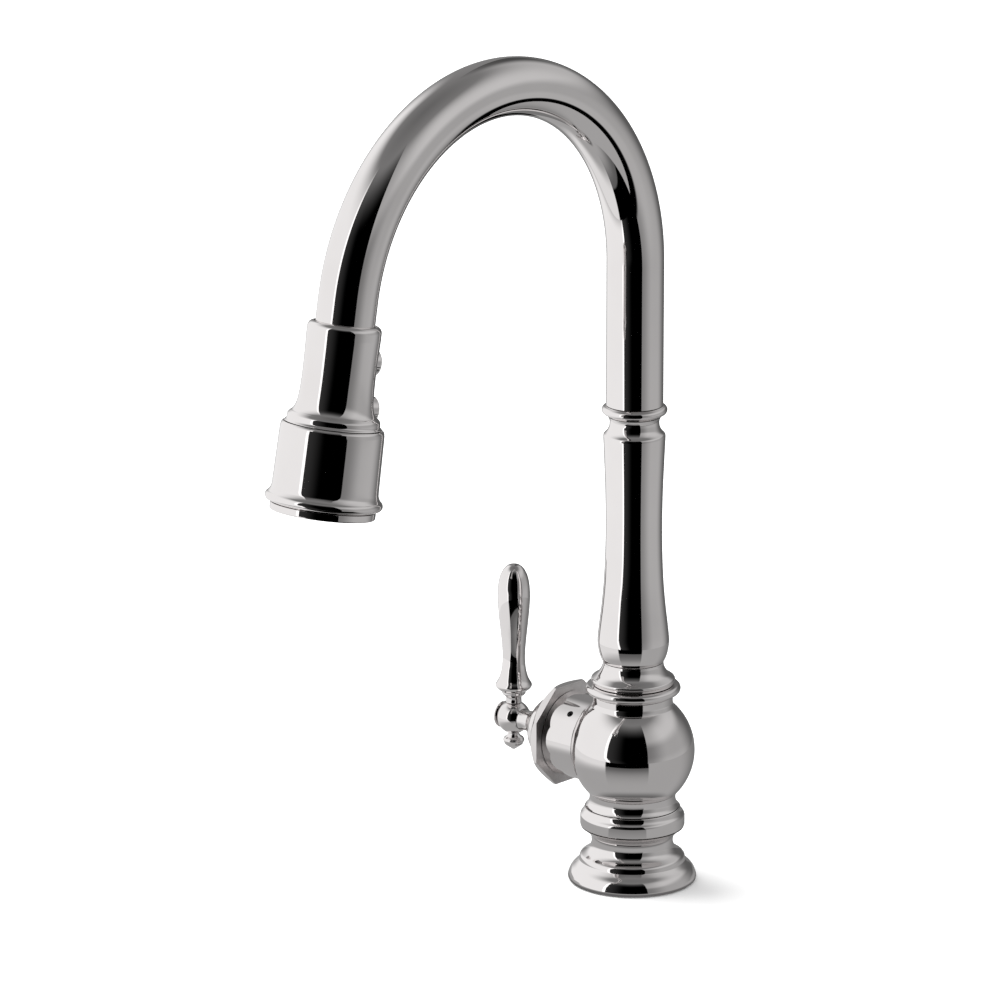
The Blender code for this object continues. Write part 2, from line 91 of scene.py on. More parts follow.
BUTTONS = {  # place along the head, radius, and inner end and face out from the head's axis
    "stream_button": (29.0, 6.5, 14.0, 20.3),
    "spray_button": (51.5, 6.3, 15.6, 22.2),
}
NOZZLE_RINGS = ((11.2, 16), (15.2, 22), (19.2, 28))  # radius and count
MESH_RADIUS = 6.2  # of the aerator's mesh, and its wires
WIRE_SPACING = 1.3
WIRE_WIDTH = 0.32

# Facets round a piece
FINE = 144
PLAIN = 96
THREAD_FACETS = 64
SMALL = 48
TINY = 16
EDGE_RADIUS = 0.22  # of an eased edge, mm
EASED_TURN = math.radians(28)  # corners that turn more than this are eased
SHARP_ANGLE = math.radians(38)  # edges that turn more than this stay crisp

LEAN = math.radians(ARCH_LEAN)
ARCH_END = Vector(
    (0, -ARCH_RADIUS * (1 + math.cos(LEAN)), ARCH_HEIGHT + ARCH_RADIUS * math.sin(LEAN))
)
MOUTH_DIRECTION = Vector((0, -math.sin(LEAN), -math.cos(LEAN)))


def at(place, turn=(0, 0, 0)):
    """The matrix of a place in mm and a turn in radians."""
    return Matrix.Translation(Vector(place) * MM) @ Euler(turn).to_matrix().to_4x4()


BASE_AXIS = Matrix.Identity(4)
VALVE_AXIS = at((0, 0, VALVE_HEIGHT), (0, -math.pi / 2, 0))
LEVER_AXIS = at((-PIVOT, 0, VALVE_HEIGHT))
HEAD_AXIS = at(ARCH_END, (math.pi - LEAN, 0, 0))


# ---- outlines: each helper returns (radius, height) points ----


def arc(radius, centre_r, centre_h, start, end, steps=12):
    """Round (centre_r, centre_h), in degrees, with 0 pointing outwards and 90 up."""
    points = []
    for step in range(steps + 1):
        angle = math.radians(start + (end - start) * step / steps)
        points.append((centre_r + radius * math.cos(angle), centre_h + radius * math.sin(angle)))
    return points


def flowing(points, steps=7):
    """A smooth curve through the points, with that many spans between two of them."""
    ends = [points[0]] + list(points) + [points[-1]]
    curve = []
    for i in range(1, len(ends) - 2):
        before, here, there, after = (Vector(p) for p in ends[i - 1 : i + 3])
        for step in range(steps):
            t = step / steps
            point = 0.5 * (
                2 * here
                + (there - before) * t
                + (2 * before - 5 * here + 4 * there - after) * t**2
                + (3 * here - before - 3 * there + after) * t**3
            )
            curve.append(tuple(point))
    return curve + [tuple(points[-1])]


def ring(inner, outer, low, high):
    return [(outer, high), (outer, low), (inner, low), (inner, high)]


def disc(outer, low, high):
    return [(0, high), (outer, high), (outer, low), (0, low)]


def eased(outline, radius=EDGE_RADIUS):
    """The outline with its sharp corners rounded a little."""
    points = [Vector(p) for p in outline]
    is_loop = points[0].x > 0
    made = []
    for i, here in enumerate(points):
        at_end = i in (0, len(points) - 1)
        back = points[i - 1] - here
        on = points[(i + 1) % len(points)] - here
        if here.x == 0 or (at_end and not is_loop) or math.pi - back.angle(on) < EASED_TURN:
            made.append(tuple(here))
            continue
        start = here + back.normalized() * min(radius, 0.4 * back.length)
        end = here + on.normalized() * min(radius, 0.4 * on.length)
        for step in range(4):
            t = step / 3
            made.append(tuple((1 - t) ** 2 * start + 2 * t * (1 - t) * here + t**2 * end))
    return made


# ---- meshes ----


def linked(name, mesh):
    obj = bpy.data.objects.new(name, mesh)
    bpy.context.scene.collection.objects.link(obj)
    return obj


def mesh_from(name, shape):
    bmesh.ops.recalc_face_normals(shape, faces=shape.faces)
    mesh = bpy.data.meshes.new(name)
    shape.to_mesh(mesh)
    shape.free()
    return mesh


def circled(shape, radius, height, facets):
    """New points in a circle round Z, or a single one where the radius is 0."""
    angles = [math.tau * i / facets for i in range(facets if radius > 0 else 1)]
    return [
        shape.verts.new((radius * math.cos(a) * MM, radius * math.sin(a) * MM, height * MM))
        for a in angles
    ]


def walled(shape, rings):
    """Faces between each ring of points and the next."""
    for above, below in zip(rings, rings[1:]):
        for i in range(len(above)):
            j = (i + 1) % len(above)
            shape.faces.new((above[i], above[j], below[j], below[i]))


def turned_shape(outline, facets):
    """The outline turned round Z: a loop if it stays off the axis, else closed at its ends."""
    shape = bmesh.new()
    rings = [circled(shape, radius, height, facets) for radius, height in outline]
    following = rings[1:] + ([rings[0]] if outline[0][0] > 0 else [])
    for above, below in zip(rings, following):
        for i in range(facets):
            j = (i + 1) % facets
            corners = [above[i % len(above)], above[j % len(above)]]
            corners += [below[j % len(below)], below[i % len(below)]]
            shape.faces.new(list(dict.fromkeys(corners)))
    return shape


def turned(
    name,
    outline,
    axis=BASE_AXIS,
    facets=FINE,
    ease=EDGE_RADIUS,
    place=(0, 0, 0),
    turn=(0, 0, 0),
):
    """A piece turned about its own Z axis, put in its place on that axis of the object."""
    outline = eased(outline, ease) if ease else outline
    mesh = mesh_from(name, turned_shape(outline, facets))
    mesh.transform(axis @ at(place, turn))
    return linked(name, mesh)


def prism(name, sides, radius, low, high, axis=BASE_AXIS, first=0.0):
    """A bar with that many sides. Its first corner is that many degrees round."""
    mesh = mesh_from(name, turned_shape(disc(radius, low, high), sides))
    mesh.transform(axis @ Matrix.Rotation(math.radians(first), 4, "Z"))
    return linked(name, mesh)


def box(name, low, high, axis=BASE_AXIS, turn=(0, 0, 0)):
    shape = bmesh.new()
    bmesh.ops.create_cube(shape, size=1)
    low, high = Vector(low) * MM, Vector(high) * MM
    bmesh.ops.scale(shape, vec=high - low, verts=shape.verts)
    bmesh.ops.translate(shape, vec=(low + high) / 2, verts=shape.verts)
    mesh = mesh_from(name, shape)
    mesh.transform(axis @ at((0, 0, 0), turn))
    return linked(name, mesh)


def settled(obj):
    """Turns the object's modifiers into mesh."""
    graph = bpy.context.evaluated_depsgraph_get()
    mesh = bpy.data.meshes.new_from_object(obj.evaluated_get(graph))
    obj.modifiers.clear()
    obj.data = mesh
    return obj


def cut(obj, *cutters, operation="DIFFERENCE"):
    """Applies the cutters to the object's mesh and removes them."""
    for cutter in cutters:
        modifier = obj.modifiers.new("cut", "BOOLEAN")
        modifier.operation = operation
        modifier.solver = "EXACT"
        modifier.object = cutter
        settled(obj)
        bpy.data.objects.remove(cutter, do_unlink=True)
    return obj


def swept(name, path, sections, facets, axis=BASE_AXIS):
    """A tube along a path in the YZ plane, given as (place, direction) pairs in mm. The
    sections are the radii of its outside and its bore."""
    shape = bmesh.new()
    rings = []
    across = Vector((1, 0, 0))
    angles = [math.tau * i / facets for i in range(facets)]
    outside, bore = sections
    stops = [(stop, outside) for stop in path] + [(stop, bore) for stop in reversed(path)]
    for (place, direction), radius in stops:
        side = direction.cross(across).normalized()
        spokes = [across * math.cos(a) + side * math.sin(a) for a in angles]
        rings.append([shape.verts.new((place + spoke * radius) * MM) for spoke in spokes])
    walled(shape, rings + rings[:1])
    mesh = mesh_from(name, shape)
    mesh.transform(axis)
    return linked(name, mesh)


def joined(name, objects):
    """One object from several."""
    shape = bmesh.new()
    for obj in objects:
        shape.from_mesh(obj.data)
        bpy.data.objects.remove(obj, do_unlink=True)
    mesh = bpy.data.meshes.new(name)
    shape.to_mesh(mesh)
    shape.free()
    return linked(name, mesh)


# ---- materials ----


class Nodes:
    """A material's node tree, with short ways to add and join nodes."""

    def __init__(self, name, colour, metallic, roughness):
        self.material = bpy.data.materials.new(name)
        self.material.use_nodes = True
        self.tree = self.material.node_tree
        self.shader = self.tree.nodes["Principled BSDF"]
        self.shader.inputs["Base Color"].default_value = (*colour, 1)
        self.shader.inputs["Metallic"].default_value = metallic
        self.shader.inputs["Roughness"].default_value = roughness
        self.shader.inputs["IOR"].default_value = 1.5
        self.place = self.add("ShaderNodeTexCoord").outputs["Object"]

    def add(self, kind, **settings):
        node = self.tree.nodes.new(kind)
        for key, value in settings.items():
            setattr(node, key, value)
        return node

    def join(self, source, target):
        self.tree.links.new(source, target)

    def noise(self, scale, detail):
        noise = self.add("ShaderNodeTexNoise")
        noise.inputs["Scale"].default_value = scale
        noise.inputs["Detail"].default_value = detail
        self.join(self.place, noise.inputs["Vector"])
        return noise.outputs["Fac"]

    def ranged(self, value, low, high, start=0.3, end=0.7):
        """The value's span from start to end, spread from low to high."""
        span = self.add("ShaderNodeMapRange")
        sockets = ("From Min", "From Max", "To Min", "To Max")
        for socket, number in zip(sockets, (start, end, low, high)):
            span.inputs[socket].default_value = number
        self.join(value, span.inputs["Value"])
        return span.outputs["Result"]

    def maths(self, operation, first, second=None):
        node = self.add("ShaderNodeMath", operation=operation)
        for socket, value in zip(node.inputs, (first, second)):
            if isinstance(value, (int, float)):
                socket.default_value = value
            elif value is not None:
                self.join(value, socket)
        return node.outputs[0]

    def tinted(self, factor, first, second):
        mix = self.add("ShaderNodeMix", data_type="RGBA")
        self.join(factor, mix.inputs["Factor"])
        mix.inputs["A"].default_value = (*first, 1)
        mix.inputs["B"].default_value = (*second, 1)
        self.join(mix.outputs["Result"], self.shader.inputs["Base Color"])

    def roughened(self, factor, low, high):
        self.join(self.ranged(factor, low, high), self.shader.inputs["Roughness"])

    def bumped(self, height, distance, strength=1.0):
        bump = self.add("ShaderNodeBump")
        bump.inputs["Strength"].default_value = strength
        bump.inputs["Distance"].default_value = distance
        self.join(height, bump.inputs["Height"])
        self.join(bump.outputs["Normal"], self.shader.inputs["Normal"])


def polished_nickel():
    """Warm bright plating, with the faint unevenness of a hand-buffed surface."""
    made = Nodes("polished_nickel", (0.86, 0.835, 0.83), 1.0, 0.035)
    cloud = made.noise(38, 4)
    made.tinted(made.ranged(cloud, 0, 1), (0.865, 0.84, 0.836), (0.842, 0.815, 0.81))
    made.roughened(made.noise(160, 5), 0.022, 0.05)
    return made.material


def metal(name, light, dark, roughness, grain, bump):
    """A worked metal, with grains of that fineness per metre that stand up by bump metres."""
    made = Nodes(name, light, 1.0, roughness[0])
    grains = made.noise(grain, 5)
    made.tinted(made.ranged(grains, 0, 1), light, dark)
    made.roughened(made.noise(grain * 0.4, 4), *roughness)
    made.bumped(grains, bump)
    return made.material


def moulded(name, light, dark, roughness, grain, bump):
    """A plastic, rubber or ceramic, mottled between two colours."""
    made = Nodes(name, light, 0.0, roughness[0])
    made.tinted(made.ranged(made.noise(60, 4), 0, 1), light, dark)
    made.roughened(made.noise(140, 3), *roughness)
    made.bumped(made.noise(grain, 2), bump)
    return made.material


STRANDS = 12.0  # crossings of the hose's braid round it
STRAND_RATE = 2600.0  # and along it, radians per metre


def braided_hose():
    """Woven nylon over the hose: two sets of strands that cross round the mouth's axis."""
    made = Nodes("braided_hose", (0.2, 0.2, 0.21), 0.0, 0.42)
    local = made.add("ShaderNodeMapping", vector_type="TEXTURE")
    local.inputs["Location"].default_value = HEAD_AXIS.translation
    local.inputs["Rotation"].default_value = HEAD_AXIS.to_euler()
    made.join(made.place, local.inputs["Vector"])
    parts = made.add("ShaderNodeSeparateXYZ")
    made.join(local.outputs["Vector"], parts.inputs["Vector"])
    angle = made.maths("ARCTAN2", parts.outputs["Y"], parts.outputs["X"])
    around = made.maths("MULTIPLY", angle, STRANDS)
    along = made.maths("MULTIPLY", parts.outputs["Z"], STRAND_RATE)
    strands = []
    for operation in ("ADD", "SUBTRACT"):
        phase = made.maths(operation, around, along)
        strands.append(made.maths("ABSOLUTE", made.maths("SINE", phase)))
    weave = made.maths("MAXIMUM", *strands)
    made.tinted(made.ranged(weave, 0, 1, 0.5, 1.0), (0.06, 0.06, 0.065), (0.3, 0.3, 0.31))
    made.roughened(weave, 0.5, 0.38)
    made.bumped(weave, 0.0004, 0.8)
    return made.material


# Each slot of the record, and two looks within a slot: satin_nickel and black_steel.
# name, light and dark colour, roughness from and to, grain per metre, bump in metres
MATERIALS = {
    "polished_nickel": polished_nickel(),
    "satin_nickel": metal(
        "satin_nickel", (0.84, 0.815, 0.81), (0.78, 0.755, 0.75), (0.34, 0.44), 520, 0.00001
    ),
    "brass": metal("machined_brass", (0.8, 0.6, 0.3), (0.7, 0.5, 0.22), (0.2, 0.36), 420, 0.00004),
    "steel": metal(
        "stainless_steel", (0.66, 0.66, 0.65), (0.54, 0.54, 0.54), (0.18, 0.34), 520, 0.00003
    ),
    "black_steel": metal(
        "blackened_steel", (0.05, 0.05, 0.05), (0.02, 0.02, 0.02), (0.3, 0.45), 520, 0.00003
    ),
    "rubber": moulded(
        "black_rubber", (0.022, 0.022, 0.023), (0.035, 0.035, 0.036), (0.6, 0.78), 900, 0.00005
    ),
    "white_plastic": moulded(
        "white_acetal", (0.8, 0.8, 0.77), (0.74, 0.74, 0.7), (0.32, 0.45), 700, 0.00003
    ),
    "dark_plastic": moulded(
        "dark_plastic", (0.04, 0.04, 0.043), (0.06, 0.06, 0.064), (0.35, 0.5), 800, 0.00004
    ),
    "ceramic": moulded(
        "alumina_ceramic", (0.88, 0.86, 0.82), (0.82, 0.8, 0.75), (0.12, 0.22), 600, 0.00001
    ),
    "magnet": metal(
        "ferrite_magnet", (0.14, 0.14, 0.15), (0.09, 0.09, 0.1), (0.35, 0.5), 500, 0.00004
    ),
    "hose": braided_hose(),
}


def piece(obj, body, slot="polished_nickel", *nodes, look=None):
    """Shades the piece, gives it its slot's material, and hands it to the frame."""
    mesh = obj.data
    mesh.materials.clear()
    mesh.materials.append(MATERIALS[look or slot])
    mesh.polygons.foreach_set("material_index", [0] * len(mesh.polygons))
    mesh.polygons.foreach_set("use_smooth", [True] * len(mesh.polygons))
    mesh.set_sharp_from_angle(angle=SHARP_ANGLE)
    weighted = obj.modifiers.new("weighted", "WEIGHTED_NORMAL")
    weighted.keep_sharp = True
    settled(obj)
    if nodes:
        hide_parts(*nodes)
    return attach(obj, body)


# ---- foot and mounting ----


def make_foot():
    cove = flowing(
        [(26.1, FOOT_TOP), (23.7, 26.6), (21.2, 23.7), (20.5, 20.4), (21.2, 17.4), (22.9, 15.2)]
        + [(25.4, 13.5)]
    )
    step = [(26.0, 13.1), (26.5, 12.2), (26.6, 11.0)]
    ogee = flowing([(26.8, 10.5), (28.3, 8.7), (30.2, 6.8), (31.4, 4.9), (32.1, 3.1)])
    rim = arc(1.75, 30.65, 1.75, 22, -88, 8)
    underside = [(27.8, 0), (27.8, 2.0), (20.7, 2.0), (20.7, 0)]
    bore = [(FOOT_BORE, 0), (FOOT_BORE, FOOT_TOP)]
    flange = turned("foot_flange", cove + step + ogee + rim + underside + bore)
    piece(flange, "base", "polished_nickel", "foot")
    foot_seat = FOOT_TOP + GAP
    band = [(23.7, 38.6), (24.1, 38.3)] + flowing([(24.3, 37.6), (24.9, 36.2), (25.9, 35.0)], 4)
    band += [(26.2, 34.4), (26.35, 33.8), (26.35, 29.2), (25.9, foot_seat)]
    band += [(FOOT_BORE, foot_seat), (FOOT_BORE, 38.6)]
    piece(turned("foot_band", band), "base", "polished_nickel", "band_ring")


def threaded(name, inner, outer, low, high, pitch, depth):
    """A tube with a cut thread on its outside, as one wall that winds down it."""
    shape = bmesh.new()
    rows = int((high - low) / pitch * 8)
    rings = []
    for row in range(rows + 1):
        height = high + (low - high) * row / rows
        fade = min(1.0, (high - height) / pitch, (height - low) / pitch)
        winding = []
        for i in range(THREAD_FACETS):
            turn = (height / pitch - i / THREAD_FACETS) % 1.0
            radius = outer - depth * max(0.0, fade) * (1 - abs(2 * turn - 1))
            angle = math.tau * i / THREAD_FACETS
            place = (radius * math.cos(angle) * MM, radius * math.sin(angle) * MM, height * MM)
            winding.append(shape.verts.new(place))
        rings.append(winding)
    rings += [circled(shape, inner, height, THREAD_FACETS) for height in (low, high)]
    walled(shape, rings + rings[:1])
    return linked(name, mesh_from(name, shape))


def make_mounting():
    shank = threaded("threaded_shank", SHANK_BORE, SHANK_RADIUS, SHANK_END, -2.0, 1.5, 0.7)
    collar = turned("shank_collar", ring(SHANK_BORE, SHANK_RADIUS, -2.0, 25.7), ease=0)
    piece(joined("mounting_shank", [shank, collar]), "base", "brass", "shank")

    top = -DECK_THICKNESS - CLAMP_STACK
    nut = turned("shank_nut", ring(SHANK_RADIUS + GAP, 29.5, top - 10.0, top), ease=0)
    cut(nut, prism("nut_hexagon", 6, 29.0, -60, -20), operation="INTERSECT")
    chamfer = [(0, top + 1), (25.2, top + 1), (29.5, top - 1.5)]
    chamfer += [(29.5, top - 8.5), (25.2, top - 11.0), (0, top - 11.0)]
    cut(nut, turned("nut_chamfer", chamfer, ease=0), operation="INTERSECT")
    for side in (-1, 1):
        place = (0, side * CLAMP_SCREW_OFFSET, 0)
        cut(nut, turned("screw_hole", disc(2.8, -60, -20), facets=SMALL, ease=0, place=place))
    piece(nut, "base", "brass", "mounting_nut")

    head = top - 12.5
    screw = [(0, top), (2.5, top), (2.5, head), (4.0, head), (4.0, head - 3.5), (0, head - 3.5)]
    for name, side in (("clamp_screw_front", -1), ("clamp_screw_rear", 1)):
        across = side * CLAMP_SCREW_OFFSET
        made = turned(f"{name}_slotted", screw, facets=SMALL, place=(0, across, 0))
        slot = box("screw_slot", (-6, across - 0.5, head - 6), (6, across + 0.5, head - 2.0))
        piece(cut(made, slot), "base", "steel", name)


# ---- valve body ----


def true_normals(mesh):
    """Gives the ball and the barrel their exact normals, which long faces at the seam lack."""
    centre = Vector((0, 0, VALVE_HEIGHT)) * MM
    near = 0.04 * MM
    normals = [Vector(corner.vector) for corner in mesh.corner_normals]
    for face in mesh.polygons:
        from_centre = face.center - centre
        from_axis = Vector((0, from_centre.y, from_centre.z))
        on_ball = abs(from_centre.length - BALL_RADIUS * MM) < near
        on_barrel = from_centre.x < 0 and abs(from_axis.length - BARREL_RADIUS * MM) < near
        if not (on_ball or on_barrel):
            continue
        for loop in face.loop_indices:
            place = mesh.vertices[mesh.loops[loop].vertex_index].co - centre
            if on_barrel:
                place.x = 0
            normals[loop] = place.normalized()
    mesh.normals_split_custom_set(normals)


def body_outline():
    """The ball with its necks, and the bores down its middle."""
    neck = [(20.0, 97.2)] + flowing([(20.0, 94.0), (20.15, 92.9), (20.7, 91.4)], 4)
    ball = arc(BALL_RADIUS, 0, VALVE_HEIGHT, 48.0, -43.5, 72)
    low_neck = flowing(
        [(22.2, 46.0), (21.75, 44.4), (21.7, 42.8), (22.1, 41.0), (22.9, 39.6), (23.5, 38.9)], 5
    )
    shank_clear = SHANK_RADIUS + GAP
    spigot = [(18.2, 38.9), (18.2, 6.0), (shank_clear, 6.0), (shank_clear, 26.0)]
    channel = [(CHANNEL_RADIUS, 26.0), (CHANNEL_RADIUS, 87.5), (POST_BORE, 87.5)]
    return neck + ball + low_neck + spigot + channel + [(POST_BORE, 97.2)]


def barrel_outline():
    """The barrel, with a fillet where it runs into the ball."""
    end = BARREL_END
    reach = BARREL_RADIUS + SEAM_FILLET
    level = math.sqrt((BALL_RADIUS + SEAM_FILLET - SEAM_SINK) ** 2 - reach**2)
    swing = math.degrees(math.atan2(level, reach))
    nose = [(0, end + 3.5), (21.3, end + 3.5), (21.3, end), (BARREL_RADIUS, end)]
    return nose + arc(SEAM_FILLET, reach, level, 180, 180 + swing, 8) + [(18.0, 14), (0, 14)]


def make_valve_body():
    body = turned("valve_ball", body_outline())
    cut(body, turned("barrel", barrel_outline(), VALVE_AXIS), operation="UNION")
    end = BARREL_END
    pocket = [(0, 47), (19.95, 47), (19.95, end), (18.9, end), (18.9, 36), (17.8, 36)]
    pocket += [(17.8, 12), (0, 12)]
    cut(body, turned("cartridge_pocket", pocket, VALVE_AXIS, ease=0))
    for across, up, radius in ((-4.6, -12.8, 2.6), (4.6, -12.8, 2.6), (0, -11.6, 1.7)):
        way = disc(radius, 20, 57)
        cut(body, turned("water_way", way, facets=SMALL, ease=0, place=(up, across, 0)))
    where = {
        "facets": SMALL,
        "place": (-29.0, 0, VALVE_HEIGHT),
        "turn": (math.radians(SET_SCREW_TURN), 0, 0),
    }
    cut(body, turned("set_screw_hole", disc(1.7, 16, 24), ease=0, **where))
    piece(body, "base", "polished_nickel", "valve_body")
    true_normals(body.data)

    screw = turned("hole_plug", disc(1.4, 18.2, 21.4), ease=0.12, **where)
    socket = prism("hex_socket", 6, 0.8, 20.3, 22, at(where["place"], where["turn"]))
    piece(cut(screw, socket), "base", "steel", "set_screw", look="black_steel")

    collar = arc(2.25, 21.65, 100.7, 78, -78, 20)
    collar += [(20.4, 97.5), (POST_BORE, 97.5), (POST_BORE, 103.0), (20.6, 103.0)]
    piece(turned("body_bead", collar), "base", "polished_nickel", "body_collar")


def make_bonnet():
    """The octagonal nut. Its back, which faces the ball, is left satin."""
    back = BARREL_END + GAP
    chamfer = flowing([(21.3, 49.9), (23.2, 48.3), (25.4, 46.3), (27.8, 43.7)], 8)
    outline = [(20.0, 50.9), (20.6, 50.6)] + chamfer + [(27.8, back), (21.6, back), (21.6, 46.2)]
    outline += arc(DOME_RADIUS + GAP, 0, PIVOT, 3.5, 16, 6)
    bonnet = turned("octagon_bonnet", outline, VALVE_AXIS, ease=0)
    cut(bonnet, prism("octagon", 8, 27.5, 30, 60, VALVE_AXIS, 22.5), operation="INTERSECT")
    piece(bonnet, "base", "polished_nickel", "bonnet_nut")
    bonnet.data.materials.append(MATERIALS["satin_nickel"])
    for face in bonnet.data.polygons:
        if face.normal.x > 0.99:
            face.material_index = 1


# ---- spout ----


def column_outline():
    cove = flowing(
        [(13.4, 241.8), (12.6, 240.2), (12.4, 238.6), (12.6, 236.7), (13.1, 235.3), (14.0, 233.9)]
        + [(15.1, 232.8)]
    )
    belly = flowing(
        [(15.55, 231.6), (15.3, 226), (14.9, 217), (14.4, 204), (14.1, 186), (14.35, 170)]
        + [(15.0, 156), (16.0, 144.5), (17.1, 135), (17.85, 128), (17.95, 124.2)]
        + [(17.3, 119.9), (16.4, 117.0), (15.4, 115.0)]
    )
    bore = [(POST_BORE, 115.0), (POST_BORE, 150.5), (12.2, 150.5), (12.2, 226)]
    bore += [(SPIGOT_BORE, 227.3), (SPIGOT_BORE, 241.8)]
    return cove + [(15.45, 232.3)] + belly + bore


def spout_stops(steps):
    """The spout's centreline, as (place, direction) pairs."""
    stops = [(Vector((0, 0, TUBE_FOOT)), Vector((0, 0, 1)))]
    sweep = math.pi - LEAN
    for step in range(steps + 1):
        angle = sweep * step / steps
        across = ARCH_RADIUS * (1 - math.cos(angle))
        place = Vector((0, -across, ARCH_HEIGHT + ARCH_RADIUS * math.sin(angle)))
        stops.append((place, Vector((0, -math.sin(angle), math.cos(angle)))))
    stops.append((ARCH_END + MOUTH_DIRECTION * TUBE_END, MOUTH_DIRECTION))
    return stops


def make_hose_tail():
    """The hose's last stretch, from the spout's mouth to the head."""
    length = TAIL_END - TAIL_START
    path = [(Vector((0, 0, TAIL_START + length * i / 60)), Vector((0, 0, 1))) for i in range(61)]
    tail = swept("braided_tail", path, (HOSE_RADIUS, HOSE_BORE), SMALL, HEAD_AXIS)
    tail.data.materials.append(MATERIALS["hose"])
    tail.data.polygons.foreach_set("use_smooth", [True] * len(tail.data.polygons))
    tail.data.set_sharp_from_angle(angle=SHARP_ANGLE)
    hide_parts("hose_tail")
    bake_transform(tail)


def make_spout():
    collar = [(15.3, 114.7)]
    collar += flowing([(15.3, 113.4), (15.7, 111.7), (16.6, 109.9), (18.0, 108.1), (20.1, 106.6)])
    collar += arc(1.1, 20.0, 105.4, 60, -60, 8)
    collar += [(20.4, 103.3), (POST_BORE, 103.3), (POST_BORE, 114.7)]
    piece(turned("spout_flare", collar), "spout", "polished_nickel", "spout_collar")
    piece(turned("baluster", column_outline()), "spout", "polished_nickel", "column")
    bead = arc(2.15, 14.2, 245.1, 75, -75, 18)
    bead += [(13.6, 242.1), (SPIGOT_BORE, 242.1), (SPIGOT_BORE, 247.5), (14.3, 247.5)]
    piece(turned("baluster_bead", bead), "spout", "polished_nickel", "column_bead")
    arch = swept("arched_tube", spout_stops(144), (TUBE_RADIUS, TUBE_BORE), PLAIN)
    piece(arch, "spout", "polished_nickel", "gooseneck")
    make_hose_tail()


# ---- lever ----


def make_grip(upright):
    grip = flowing(
        [(0, 149.3), (2.6, 148.8), (4.7, 147.2), (6.1, 145.1), (7.3, 142.0), (8.05, 137.5)]
        + [(8.27, 132.0), (7.95, 125.5), (7.2, 117.6), (6.45, 110.5), (5.85, 103.0)]
        + [(5.85, 98.0), (6.35, 93.0), (7.5, 88.9), (8.7, 86.7)]
    )
    grip += flowing([(9.15, 85.9), (9.3, 85.2), (8.9, 84.1), (7.4, 82.7)], 4)
    grip += [(6.1, 82.0), (6.1, 80.9)]
    grip += flowing([(5.5, 80.1), (4.4, 79.5), (4.0, 78.4), (4.1, 76.0)], 4)
    grip += [(2.0, 76.0), (2.0, 72.3), (0, 72.3)]
    piece(turned("grip", grip, **upright), "lever", "polished_nickel", "lever_grip")
    finial = [(0, 63.7), (1.7, 63.7), (1.7, 59.9), (2.9, 59.9)]
    finial += flowing([(2.9, 59.0), (3.9, 57.8), (5.0, 57.1)], 5)
    finial += arc(1.25, 4.25, 55.85, 50, -50, 8)
    finial += flowing([(4.75, 53.8), (3.1, 52.5), (1.7, 51.6), (0.8, 50.9), (0, 50.7)], 5)
    piece(turned("lever_finial", finial, **upright), "lever", "polished_nickel", "finial")


def make_handle():
    """Everything that lifts with the lever: what lies along the barrel is measured from
    the pivot, and what stands on it from the deck."""
    along = {"axis": LEVER_AXIS, "turn": (0, -math.pi / 2, 0)}
    upright = {"axis": LEVER_AXIS, "place": (PIVOT - KNOB, 0, -VALVE_HEIGHT), "facets": PLAIN}
    end = 73.7 - PIVOT
    dome = flowing(
        [(5.6, end), (5.25, end - 2.2), (5.3, end - 4.2), (5.8, end - 6.4), (7.0, end - 8.7)], 6
    )
    dome += arc(DOME_RADIUS, 0, 0, 63, -6, 48)[1:] + arc(DOME_RADIUS - 1.6, 0, 0, -6, 70, 24)
    dome += [(6.0, 16.0), (6.0, 10.0), (2.6, 10.0), (2.6, 18.0), (1.9, 18.0), (1.9, end)]
    dome = turned("lever_dome", dome, **along)
    tilt = (0, math.radians(LIFT_ANGLE / 2 - 90), 0)
    cut(dome, box("skirt", (-40, -40, -60), (40, 40, 1.7), LEVER_AXIS, tilt))
    piece(dome, "lever", "polished_nickel", "handle_dome")

    ball = [(0, 72.0), (2.3, 72.0), (2.3, 75.7)] + arc(KNOB_RADIUS, 0, VALVE_HEIGHT, 63.5, -65, 48)
    ball += [(2.0, 60.2), (2.0, 64.0), (0, 64.0)]
    knob = turned("lever_knob", ball, **upright)
    screw_seat = KNOB - PIVOT + 3.2
    way = [(0, 60), (3.5, 60), (3.5, screw_seat), (1.9, screw_seat), (1.9, 20), (0, 20)]
    cut(knob, turned("screw_way", way, facets=SMALL, ease=0, **along))
    for low, high in ((20, 74.0 - PIVOT), (87.0 - PIVOT, 60)):
        cut(knob, box("flat", (-20, -20, low), (20, 20, high), LEVER_AXIS, along["turn"]))
    piece(knob, "lever", "polished_nickel", "handle_ball")

    cap = flowing([(0, 44.7), (2.2, 44.62), (4.4, 44.3), (6.0, 43.75), (6.7, 43.2)], 5)
    cap += [(6.9, 42.9), (6.9, 42.3), (0, 42.3)]
    piece(turned("lever_cap", cap, facets=PLAIN, **along), "lever", "polished_nickel", "hub_cap")
    make_grip(upright)


# ---- spray head: heights are distances past the end of the arch ----


def head_shell_outline():
    shoulder = [(23.4, 59.6), (23.1, 59.15)]
    shoulder += flowing(
        [(22.7, 58.8), (22.35, 58.2), (22.3, 57.0), (22.1, 56.0), (21.5, 55.2)], 4
    )
    waist = flowing(
        [(20.9, 54.6), (20.0, 53.8), (18.95, 51.8), (18.2, 48.9), (17.75, 44.5), (17.5, 39)]
        + [(17.48, 33), (17.6, 24), (17.8, 17.2)]
    )
    rim = arc(3.1, 14.7, 14.0, 8, -88, 14)
    inside = [(14.65, 11.1), (14.65, 17.3), (15.4, 17.3), (15.4, 44.3), (16.6, 50)]
    return shoulder + waist + rim + inside + [(20.2, 56), (20.2, 59.6)]


